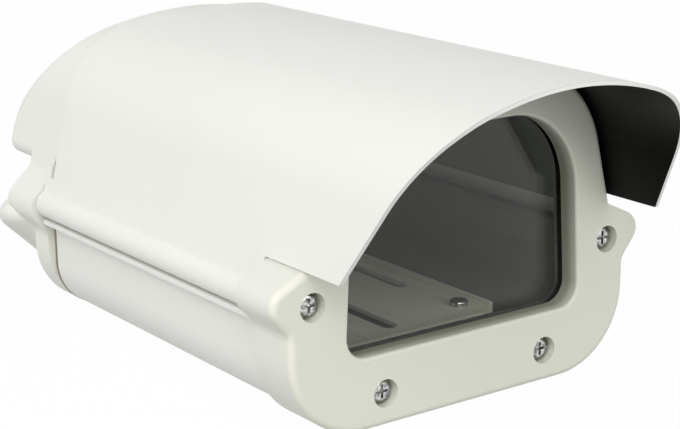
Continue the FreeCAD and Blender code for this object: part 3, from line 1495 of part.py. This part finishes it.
def make_parts():
    """Every sub-part."""
    seat = BEZEL_FACE + S["screw_seat"]
    rear_seat = REAR + S["rear_screw_seat"]
    thick = S["washer_thick"]
    end = (S["screw_radius"], S["screw_length"], S["head_radius"], S["head_height"])
    hole, rim = S["screw_radius"] + S["rebate_gap"], S["washer_radius"]
    clamp = (
        S["retainer_screw_radius"], S["retainer_screw_length"],
        S["retainer_head_radius"], S["tray_head_height"])
    tray_screw = (
        S["tray_screw_radius"], S["tray_screw_length"],
        S["tray_head_radius"], S["tray_head_height"])
    lock = (
        S["lock_screw_radius"], S["lock_screw_length"],
        S["lock_head_radius"], S["lock_head_height"])
    lap, gap = S["glass_lap"], S["glass_gap"]
    under = S["lip_top"] - S["lock_foot_thick"]
    seal_top = S["lip_top"]
    gasket_outer = S["shell_wall"] + S["end_gasket_inset"]
    parts = [
        build_lower_shell(),
        build_top_cover(),
        build_front_bezel(),
        build_rear_cap(),
        build_flat(
            "window_gasket", [[window_outline(lap), window_outline(S["gasket_setback"])]],
            GLASS_FACE - S["gasket"], S["gasket"]),
        build_flat("window_glass", [[window_outline(lap)]], GLASS_FACE, S["glass"]),
        build_retainer(),
        build_screws(
            "retainer_screws", "XZ", GLASS_FACE + S["glass"] + S["retainer"],
            RETAINER_SCREWS, clamp, True),
        build_flat(
            "front_end_gasket", [[shell_band(ZERO, gasket_outer, seal_top)]],
            FRONT - S["front_rebate"], S["front_gasket"]),
        build_flat(
            "rear_end_gasket", [[shell_band(ZERO, gasket_outer, seal_top)]],
            SHELL_REAR, S["rear_gasket"]),
        build_flat(
            "front_arch_seal", [[arch_strip(SEAL_INSET, SEAL_INSET + S["arch_seal_thick"])]],
            FRONT_SEAL, S["arch_seal_width"]),
        build_flat(
            "rear_arch_seal", [[arch_strip(SEAL_INSET, SEAL_INSET + S["arch_seal_thick"])]],
            REAR_SEAL, S["arch_seal_width"]),
        build_screws("bezel_screws", "XZ", seat - thick, END_SCREWS, end, False),
        build_washers("bezel_washers", "XZ", seat - thick, thick, END_SCREWS, hole, rim),
        build_screws("rear_cap_screws", "XZ", rear_seat + thick, END_SCREWS, end, True),
        build_washers("rear_cap_washers", "XZ", rear_seat, thick, END_SCREWS, hole, rim),
        build_rail_seal(),
        build_screws("lock_screws", "XY", under - thick, LOCK_SCREWS, lock, False),
        build_washers(
            "lock_washers", "XY", under - thick, thick, LOCK_SCREWS,
            S["lock_screw_radius"] + S["lock_hole_gap"], S["lock_head_radius"] + S["rebate_gap"]),
        build_tray(),
        build_screws("tray_screws", "XY", S["tray_top"], TRAY_SCREWS, tray_screw, True),
        build_mount_bar(),
        build_bar_screws(),
        build_camera_bolt(),
        build_ring_z(
            "camera_keeper", S["tray_top"] + S["camera_knob_gap"], S["keeper_thick"],
            (ZERO, S["camera_bolt_y"]), S["keeper_bore"], S["keeper_radius"]),
    ]
    return parts + build_glands()


def main():
    """Check every sub-part and write it out."""
    parts = make_parts()
    doc.recompute()
    for item in doc.Objects:
        if "Invalid" in item.State or "Error" in item.State:
            raise RuntimeError("%s is in state %s" % (item.Label, item.State))
    for part in parts:
        if part.Shape.isNull() or not part.Shape.isValid():
            raise RuntimeError("%s has a bad shape" % part.Label)
        print(part.Label, len(part.Shape.Solids), part.Shape.BoundBox)
        part.Shape.exportStep("parts/%s.step" % part.Label)


main()
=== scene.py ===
import math

import bpy
from mathutils import Matrix, Vector

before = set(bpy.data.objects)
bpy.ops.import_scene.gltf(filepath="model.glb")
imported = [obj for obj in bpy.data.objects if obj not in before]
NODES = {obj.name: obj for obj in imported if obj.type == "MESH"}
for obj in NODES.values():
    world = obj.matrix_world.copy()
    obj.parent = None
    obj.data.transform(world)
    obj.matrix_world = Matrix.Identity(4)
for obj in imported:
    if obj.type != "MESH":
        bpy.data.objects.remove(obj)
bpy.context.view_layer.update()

# Looks of the camera housing, in metres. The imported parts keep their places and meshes: they get
# their materials here, and the light, the camera and the floor are added around them.

# Ends and edges on the part that the paint follows
SHELL_FRONT = -0.0775
BEZEL_FACE = -0.099
BEZEL_ROUND = 0.0026
COVER_BASE = 0.059
HOOD_LOW = -0.119
HOOD_SLOPE = math.radians(31.0)
HOOD_ROUND = 0.025
HOOD_ROUND_PLACE = (-0.1263, 0.1197)
HOOD_ROUND_START = 0.1068
SHELL_WALL = 0.0655

# Heights that the inner faces of the cover, the shell and the window turn towards
ARCH_MIDDLE = 0.03
SHELL_MIDDLE = 0.06
WINDOW_MIDDLE = 0.058

# How far from an edge each paint starts and ends; the sides' in shares of the face's rounding
HOOD_EDGE_SHADE_WIDTH = (0.0001, 0.0005)
SHADED_REVEAL_DEPTH = (0.001, 0.006)
BEZEL_SIDES = (0.7, 1.3)
INSIDE_MARGIN = 0.005
LOW_EDGE_MARGIN = 0.006

# Parts of a normal that tell one kind of face from another
FACING_DOWN = -0.9
CUT_FACE = 0.3
FLAT_FACE = 0.98
TURNED_FACE = 0.8
FACING_IN = -0.001

# Colours, linear
COVER_WHITE = (0.83, 0.84, 0.79)
COVER_SHADE = (0.815, 0.825, 0.775)
SHELL_WHITE = (0.82, 0.83, 0.785)
SHELL_SHADE = (0.80, 0.81, 0.765)
CAP_WHITE = (0.825, 0.83, 0.775)
CAP_SHADE = (0.805, 0.81, 0.755)
BEZEL_CREAM = (0.76, 0.775, 0.68)
BEZEL_SHADE = (0.745, 0.76, 0.665)
# Painted light: the bezel's sides, paler and whiter than its face
LIT_BEZEL_SIDE = (0.78, 0.79, 0.725)
# Painted highlight: a warmer, paler cream on the bezel's rounded front edge
BEZEL_EDGE_HIGHLIGHT = (0.79, 0.77, 0.68)
# Painted shade: the deep part of the window's reveal
REVEAL_PAINTED_SHADE = (0.39, 0.40, 0.31)
HOOD_BLACK = (0.003, 0.003, 0.003)
HOOD_SHEEN = (0.02, 0.02, 0.02)
CUT_EDGE = (0.88, 0.88, 0.85)
# Painted shade: a thin dark line along the hood's front edge, for the shade of its rounding
HOOD_EDGE_SHADE = (0.40, 0.40, 0.38)
# Bare grey inside the cover, partly painted shade of the dark interior
COVER_INSIDE_BARE_AND_SHADE = (0.40, 0.42, 0.435)
# Grey inside the shell, partly painted shade of the dark interior
SHELL_INSIDE_GREY_AND_SHADE = (0.29, 0.29, 0.26)
DARK_RUBBER = (0.05, 0.05, 0.048)
WINDOW_SEAL = (0.14, 0.145, 0.12)
SHELL_SEAL = (0.24, 0.205, 0.16)
NYLON = (0.045, 0.045, 0.05)
ZINC = (0.70, 0.70, 0.69)
STEEL = (0.5, 0.5, 0.5)
# Tray colour paler than its sheet's own grey: partly painted light, for the light through the
# window
TRAY_PALE_AND_LIT = (0.90, 0.86, 0.76)
GLASS_DARK = (0.89, 0.91, 0.88)
GLASS_PALE = (0.93, 0.95, 0.92)
GLASS_SHADOW = (0.93, 0.95, 0.93)
FLOOR_DARK = (0.48, 0.48, 0.47)
FLOOR_PALE = (0.50, 0.50, 0.49)
WHITE = (1.0, 1.0, 1.0)

# Finishes: how streaks are scaled, and how far gloss and colour vary
EVEN = (1.0, 1.0, 1.0)
ALONG_Y = (1.0, 0.05, 1.0)
CLOUD_EDGES = (0.3, 0.7)
PATCH_EDGES = (0.35, 0.65)
PAINT_GLOSS = (-0.05, 0.07)
METAL_GLOSS = (0.0, 0.1)
RUBBER_GLOSS = (-0.08, 0.08)
RUBBER_DULL = 0.8
STREAK_HEIGHT = 0.15
FLOOR_ROUGHNESS = (0.85, 0.95)
BARE_METAL = 0.75
# Strength of the painted highlight on the bezel's rounded edge
EDGE_HIGHLIGHT_SHARE = 0.6
PAINT_IOR = 1.5
GLASS_IOR = 1.3
FLOOR_SPECULAR = 0.1
FLOOR_GLOW = 0.97

# The photo's camera: the focal length and the width of the frame in pixels, and angles in degrees
FOCAL_PIXELS = 1843.0
FRAME_PIXELS = 680.0
SENSOR = 36.0
CAMERA_ANGLES = (-35.74, 15.32, -0.62)
CAMERA_PLACE = (-0.3875, -0.5627, 0.2318)
CAMERA_CLIP = (0.01, 50.0)

# The studio: place, size and power of each lamp
LIGHTS = [
    ("left", (-1.7, -0.2, 0.85), (1.4, 1.2), 14.0),
    ("key", (-1.1, -1.3, 1.5), (1.4, 1.2), 20.5),
    ("front", (0.3, -2.0, 0.7), (1.4, 1.0), 12.0),
]
LIGHT_AIM = (0.0, 0.0, 0.06)
WORLD = 0.34
FLOOR_SIZE = 12.0
FLOOR_LEVEL = -0.002

# Places of the sockets on Blender's Mix node
FACTOR = 0
NUMBERS = (2, 3)
NUMBER_OUT = 0
COLOURS = (6, 7)
COLOUR_OUT = 2


def rgba(colour):
    """A colour with its alpha, or a socket as it is."""
    if isinstance(colour, tuple) and len(colour) == 3:
        return colour + (1.0,)
    return colour


def darker(colour, share):
    """A share of a colour."""
    return tuple(c * share for c in colour)


class Graph:
    """Short calls for building a node material."""

    def __init__(self, name):
        self.material = bpy.data.materials.new(name)
        self.material.use_nodes = True
        self.tree = self.material.node_tree
        self.shader = self.tree.nodes["Principled BSDF"]
        self.output = self.tree.nodes["Material Output"]
        self.coords = self.node("ShaderNodeTexCoord")

    def node(self, kind, **settings):
        made = self.tree.nodes.new(kind)
        for name, value in settings.items():
            setattr(made, name, value)
        return made

    def put(self, socket, value):
        """A link from another socket, or a value of its own."""
        if isinstance(value, bpy.types.NodeSocket):
            self.tree.links.new(value, socket)
        else:
            socket.default_value = value

    def set(self, name, value):
        self.put(self.shader.inputs[name], value)

    def math(self, operation, first, second=0.0):
        made = self.node("ShaderNodeMath", operation=operation)
        self.put(made.inputs[0], first)
        self.put(made.inputs[1], second)
        return made.outputs[0]

    def add(self, first, second):
        return self.math("ADD", first, second)

    def times(self, first, second):
        return self.math("MULTIPLY", first, second)

    def size(self, value):
        return self.math("ABSOLUTE", value)

    def rest(self, value):
        """What the value lacks of 1."""
        return self.math("SUBTRACT", 1.0, value)

    def below(self, value, limit):
        return self.math("LESS_THAN", value, limit)

    def above(self, value, limit):
        return self.math("GREATER_THAN", value, limit)

    def noise(self, scale, detail=2.0, roughness=0.5, vector=None):
        made = self.node("ShaderNodeTexNoise")
        self.put(made.inputs["Vector"], vector or self.coords.outputs["Object"])
        self.put(made.inputs["Scale"], scale)
        self.put(made.inputs["Detail"], detail)
        self.put(made.inputs["Roughness"], roughness)
        return made.outputs["Fac"]

    def stretched(self, scale):
        """The part's coordinates, scaled along each axis."""
        made = self.node("ShaderNodeMapping")
        self.put(made.inputs["Vector"], self.coords.outputs["Object"])
        self.put(made.inputs["Scale"], scale)
        return made.outputs[0]

    def ramp(self, value, low, high):
        """0 at low, 1 at high, smooth between."""
        made = self.node("ShaderNodeMapRange", interpolation_type="SMOOTHSTEP")
        self.put(made.inputs["From Min"], low)
        self.put(made.inputs["From Max"], high)
        self.put(made.inputs["To Min"], 0.0)
        self.put(made.inputs["To Max"], 1.0)
        self.put(made.inputs["Value"], value)
        return made.outputs["Result"]

    def mix(self, share, first, second):
        """A colour between two colours."""
        made = self.node("ShaderNodeMix", data_type="RGBA")
        self.put(made.inputs[FACTOR], share)
        for place, colour in zip(COLOURS, (first, second)):
            self.put(made.inputs[place], rgba(colour))
        return made.outputs[COLOUR_OUT]

    def blend(self, share, first, second):
        """A number between two numbers."""
        made = self.node("ShaderNodeMix", data_type="FLOAT")
        self.put(made.inputs[FACTOR], share)
        for place, number in zip(NUMBERS, (first, second)):
            self.put(made.inputs[place], number)
        return made.outputs[NUMBER_OUT]

    def choose(self, share, first, second):
        """A shader between two shaders."""
        made = self.node("ShaderNodeMixShader")
        self.put(made.inputs[0], share)
        self.put(made.inputs[1], first)
        self.put(made.inputs[2], second)
        return made.outputs[0]

    def finish(self, surface):
        """Show another surface than the plain shader."""
        self.put(self.output.inputs["Surface"], surface)

    def split(self, output):
        """X, Y and Z of the part's coordinates or of its own normal."""
        made = self.node("ShaderNodeSeparateXYZ")
        self.put(made.inputs[0], self.coords.outputs[output])
        return made.outputs

    def toward(self, place, normal, height):
        """Below 0 where a face turns towards the line along Y at this height."""
        across = self.times(normal[0], place[0])
        upward = self.times(normal[2], self.add(place[2], -height))
        return self.add(across, upward)

    def bump(self, height, strength, distance):
        made = self.node("ShaderNodeBump")
        self.put(made.inputs["Strength"], strength)
        self.put(made.inputs["Distance"], distance)
        self.put(made.inputs["Height"], height)
        self.set("Normal", made.outputs["Normal"])

    def gloss(self, share, roughness, spread):
        """Uneven roughness about its written value."""
        self.set("Roughness", self.blend(share, *(roughness + part for part in spread)))

    def powder_coat(self, roughness):
        """Fine orange peel and slightly uneven gloss."""
        self.gloss(self.noise(scale=40.0), roughness, PAINT_GLOSS)
        self.set("IOR", PAINT_IOR)
        self.bump(self.noise(scale=1500.0), strength=0.1, distance=0.00004)

    def mottled(self, scale, first, second):
        clouds = self.noise(scale, detail=3.0)
        return self.mix(self.ramp(clouds, *CLOUD_EDGES), first, second)


def hood_distance(g, y, z):
    """Distance from the front edge of the hood: a slope, then a round."""
    rise = g.times(g.add(z, -COVER_BASE), math.tan(HOOD_SLOPE))
    slope = g.times(g.add(g.add(y, -HOOD_LOW), rise), math.cos(HOOD_SLOPE))
    middle_y, middle_z = HOOD_ROUND_PLACE
    off_y = g.add(y, -middle_y)
    off_z = g.add(z, -middle_z)
    reach = g.math("SQRT", g.add(g.times(off_y, off_y), g.times(off_z, off_z)))
    rounded = g.math("SUBTRACT", HOOD_ROUND, reach)
    on_round = g.times(g.above(z, HOOD_ROUND_START), g.below(y, middle_y))
    return g.blend(on_round, slope, rounded)


def cover_material():
    """White sheet, black under the hood, bare grey inside partly as painted shade, cut edges, and
    a painted shade line at the hood's edge.
    """
    g = Graph("cover_paint")
    place, normal = g.split("Object"), g.split("Normal")
    y, z = place[1], place[2]
    on_hood = g.below(y, SHELL_FRONT)
    white = g.mottled(7.0, COVER_WHITE, COVER_SHADE)
    # Painted shade: a thin dark line on the outer face along the hood's front edge
    hood_edge_shade = g.rest(g.ramp(hood_distance(g, y, z), *HOOD_EDGE_SHADE_WIDTH))
    outside = g.mix(g.times(hood_edge_shade, on_hood), white, HOOD_EDGE_SHADE)
    faces_in = g.below(g.toward(place, normal, ARCH_MIDDLE), 0.0)
    inside = g.times(faces_in, g.above(z, COVER_BASE - INSIDE_MARGIN))
    # Inside: bare grey, partly painted shade, behind the window; black lining under the hood
    inner = g.mix(on_hood, COVER_INSIDE_BARE_AND_SHADE, HOOD_BLACK)
    painted = g.mix(inside, outside, inner)
    faces_down = g.below(normal[2], FACING_DOWN)
    low_edge = g.times(faces_down, g.below(z, COVER_BASE + LOW_EDGE_MARGIN))
    end_face = g.above(g.size(normal[1]), CUT_FACE)
    g.set("Base Color", g.mix(g.math("MAXIMUM", end_face, low_edge), painted, CUT_EDGE))
    g.powder_coat(roughness=0.4)
    bare = g.times(inside, g.above(y, SHELL_FRONT))
    g.set("Metallic", g.times(bare, BARE_METAL))
    g.set("Specular Tint", g.mix(g.times(inside, on_hood), WHITE, HOOD_SHEEN))
    return g.material


def shell_material():
    """Off-white extrusion, grey inside, the grey partly painted shade."""
    g = Graph("shell_paint")
    place, normal = g.split("Object"), g.split("Normal")
    white = g.mottled(8.0, SHELL_WHITE, SHELL_SHADE)
    faces_in = g.below(g.toward(place, normal, SHELL_MIDDLE), 0.0)
    inside = g.times(faces_in, g.below(g.size(place[0]), SHELL_WALL))
    # Inward faces grey, partly as painted shade of the housing's inside
    g.set("Base Color", g.mix(inside, white, SHELL_INSIDE_GREY_AND_SHADE))
    g.powder_coat(roughness=0.42)
    return g.material


def bezel_material():
    """Cream moulding: painted highlight where the face turns over, painted light on the sides,
    painted shade in the reveal.
    """
    g = Graph("bezel_paint")
    place, normal = g.split("Object"), g.split("Normal")
    y = place[1]
    face = g.mottled(9.0, BEZEL_CREAM, BEZEL_SHADE)
    # Painted light: the sides beyond the face's rounding are paler and whiter than the face
    sides = g.ramp(y, *(BEZEL_FACE + BEZEL_ROUND * share for share in BEZEL_SIDES))
    # Painted highlight: a warmer, paler cream where the face turns over its rounded edge
    turn = g.ramp(g.size(normal[1]), FLAT_FACE, TURNED_FACE)
    edge_highlight = g.times(g.times(turn, g.rest(sides)), EDGE_HIGHLIGHT_SHARE)
    outside = g.mix(edge_highlight, g.mix(sides, face, LIT_BEZEL_SIDE), BEZEL_EDGE_HIGHLIGHT)
    # Painted shade: the reveal turns darker deeper in from the face
    faces_in = g.below(g.toward(place, normal, WINDOW_MIDDLE), FACING_IN)
    reveal_shade = g.ramp(y, *(BEZEL_FACE + part for part in SHADED_REVEAL_DEPTH))
    g.set("Base Color", g.mix(g.times(faces_in, reveal_shade), outside, REVEAL_PAINTED_SHADE))
    g.powder_coat(roughness=0.44)
    return g.material


def cap_material():
    """White moulding of the rear cap."""
    g = Graph("cap_paint")
    g.set("Base Color", g.mottled(9.0, CAP_WHITE, CAP_SHADE))
    g.powder_coat(roughness=0.44)
    return g.material


def metal(name, colour, roughness, streak=EVEN, share=1.0, dents=0.0, dull=0.9):
    """Streaked metal. streak scales the streaks, and dull is the darkest share of the colour."""
    g = Graph(name)
    fine = g.noise(scale=700.0, detail=3.0, roughness=0.6, vector=g.stretched(streak))
    g.set("Base Color", g.mix(g.ramp(fine, *PATCH_EDGES), darker(colour, dull), colour))
    g.set("Metallic", share)
    g.gloss(fine, roughness, METAL_GLOSS)
    height = g.add(g.times(fine, STREAK_HEIGHT), g.times(g.noise(scale=500.0), dents))
    g.bump(height, strength=1.0, distance=0.00002)
    return g.material


def rubber(name, colour, roughness=0.7):
    """Matte rubber or nylon with a fine grain."""
    g = Graph(name)
    grain = g.noise(scale=900.0)
    g.set("Base Color", g.mix(grain, darker(colour, RUBBER_DULL), colour))
    g.gloss(grain, roughness, RUBBER_GLOSS)
    g.bump(grain, strength=0.2, distance=0.00003)
    return g.material


def glass_material():
    """Sheet glass with a faint grey-green body."""
    g = Graph("window_glass")
    smear = g.noise(scale=12.0, detail=3.0)
    g.set("Base Color", g.mix(smear, GLASS_DARK, GLASS_PALE))
    g.set("Roughness", 0.0)
    g.set("IOR", GLASS_IOR)
    g.set("Transmission Weight", 1.0)
    # Shadow and diffuse rays pass, so that the inside is lit through the window
    clear = g.node("ShaderNodeBsdfTransparent")
    g.put(clear.inputs["Color"], rgba(GLASS_SHADOW))
    path = g.node("ShaderNodeLightPath").outputs
    passing = g.math("MAXIMUM", path["Is Shadow Ray"], path["Is Diffuse Ray"])
    g.finish(g.choose(passing, g.shader.outputs["BSDF"], clear.outputs["BSDF"]))
    return g.material


def seen(tree):
    """1 on the rays that show the background: camera, glossy and transmission rays."""
    path = tree.nodes.new("ShaderNodeLightPath")
    share = path.outputs["Is Camera Ray"]
    for name in ("Is Glossy Ray", "Is Transmission Ray"):
        widest = tree.nodes.new("ShaderNodeMath")
        widest.operation = "MAXIMUM"
        tree.links.new(share, widest.inputs[0])
        tree.links.new(path.outputs[name], widest.inputs[1])
        share = widest.outputs[0]
    return share


def assign(material, *names):
    """Give CAD nodes a material."""
    for name in names:
        mesh = NODES[name].data
        mesh.materials.clear()
        mesh.materials.append(material)


def add_materials():
    """Every node gets its finish."""
    assign(cover_material(), "top_cover")
    assign(shell_material(), "lower_shell")
    assign(bezel_material(), "front_bezel")
    assign(cap_material(), "rear_cap")
    assign(glass_material(), "window_glass")

    dark = rubber("dark_rubber", DARK_RUBBER)
    nylon = rubber("gland_nylon", NYLON, roughness=0.45)
    assign(rubber("window_seal", WINDOW_SEAL), "window_gasket")
    assign(rubber("shell_seal", SHELL_SEAL), "front_end_gasket", "rear_end_gasket")
    assign(dark, "rail_seal", "front_arch_seal", "rear_arch_seal", "gland_seals")
    assign(nylon, "gland_bodies", "gland_dome_nuts", "gland_locknuts", "gland_plugs")

    screw = metal("zinc_screw", ZINC, roughness=0.14, dents=5.0, dull=0.3)
    washer = metal("zinc_washer", ZINC, roughness=0.28)
    steel = metal("bar_steel", STEEL, roughness=0.4, streak=ALONG_Y)
    # The tray's pale colour is partly painted light
    tray = metal("tray_sheet", TRAY_PALE_AND_LIT, roughness=0.5, streak=ALONG_Y, share=0.0)
    assign(screw, "bezel_screws", "rear_cap_screws", "retainer_screws", "tray_screws")
    assign(screw, "lock_screws", "mount_bar_screws", "camera_bolt")
    assign(washer, "bezel_washers", "rear_cap_washers", "lock_washers", "camera_keeper")
    assign(steel, "mount_bar", "glass_retainer")
    assign(tray, "camera_tray")


def add_camera():
    """The photo's viewpoint."""
    azimuth, elevation, roll = (math.radians(angle) for angle in CAMERA_ANGLES)
    back = Vector((
        math.sin(azimuth) * math.cos(elevation),
        -math.cos(azimuth) * math.cos(elevation),
        math.sin(elevation),
    ))
    level = Vector((0, 0, 1)).cross(back).normalized()
    over = back.cross(level)
    right = math.cos(roll) * level + math.sin(roll) * over
    up = -math.sin(roll) * level + math.cos(roll) * over
    data = bpy.data.cameras.new("photo_camera")
    data.sensor_width = SENSOR
    data.lens = SENSOR * FOCAL_PIXELS / FRAME_PIXELS
    data.clip_start, data.clip_end = CAMERA_CLIP
    camera = bpy.data.objects.new("photo_camera", data)
    turn = Matrix((right, up, back)).transposed().to_4x4()
    camera.matrix_world = Matrix.Translation(CAMERA_PLACE) @ turn
    bpy.context.scene.collection.objects.link(camera)
    bpy.context.scene.camera = camera


def floor_material():
    """White with a faint shadow where it is seen, and greyer in its bounce."""
    g = Graph("floor_paper")
    fine = g.noise(scale=60.0)
    g.set("Base Color", g.mix(fine, FLOOR_DARK, FLOOR_PALE))
    g.set("Roughness", g.blend(fine, *FLOOR_ROUGHNESS))
    g.set("Specular IOR Level", FLOOR_SPECULAR)
    paper = g.node("ShaderNodeBsdfDiffuse")
    g.put(paper.inputs["Color"], rgba(WHITE))
    glow = g.node("ShaderNodeEmission")
    g.put(glow.inputs["Strength"], 1.0)
    shown = g.choose(FLOOR_GLOW, paper.outputs[0], glow.outputs[0])
    g.finish(g.choose(seen(g.tree), g.shader.outputs["BSDF"], shown))
    return g.material


def add_floor():
    """A wide pale floor just under the part."""
    bpy.ops.mesh.primitive_plane_add(size=FLOOR_SIZE, location=(0, 0, FLOOR_LEVEL))
    floor = bpy.context.object
    floor.name = "floor"
    floor.data.materials.append(floor_material())


def add_light(name, place, size, power):
    """A soft rectangular light that aims at the part."""
    data = bpy.data.lights.new(name, "AREA")
    data.shape = "RECTANGLE"
    data.size, data.size_y = size
    data.energy = power
    light = bpy.data.objects.new(name, data)
    aim = (Vector(LIGHT_AIM) - Vector(place)).normalized()
    light.rotation_euler = aim.to_track_quat("-Z", "Y").to_euler()
    light.location = place
    bpy.context.scene.collection.objects.link(light)


def add_world(strength):
    """White where it is seen, softer where it lights the part."""
    world = bpy.data.worlds.new("studio")
    bpy.context.scene.world = world
    world.use_nodes = True
    tree = world.node_tree
    back = tree.nodes["Background"]
    mix = tree.nodes.new("ShaderNodeMix")
    mix.data_type = "FLOAT"
    tree.links.new(seen(tree), mix.inputs[FACTOR])
    for place, number in zip(NUMBERS, (strength, 1.0)):
        mix.inputs[place].default_value = number
    back.inputs["Color"].default_value = rgba(WHITE)
    tree.links.new(mix.outputs[NUMBER_OUT], back.inputs["Strength"])


bpy.context.scene.view_settings.view_transform = "Standard"
add_materials()
add_camera()
add_floor()
add_world(WORLD)
for lamp in LIGHTS:
    add_light(*lamp)
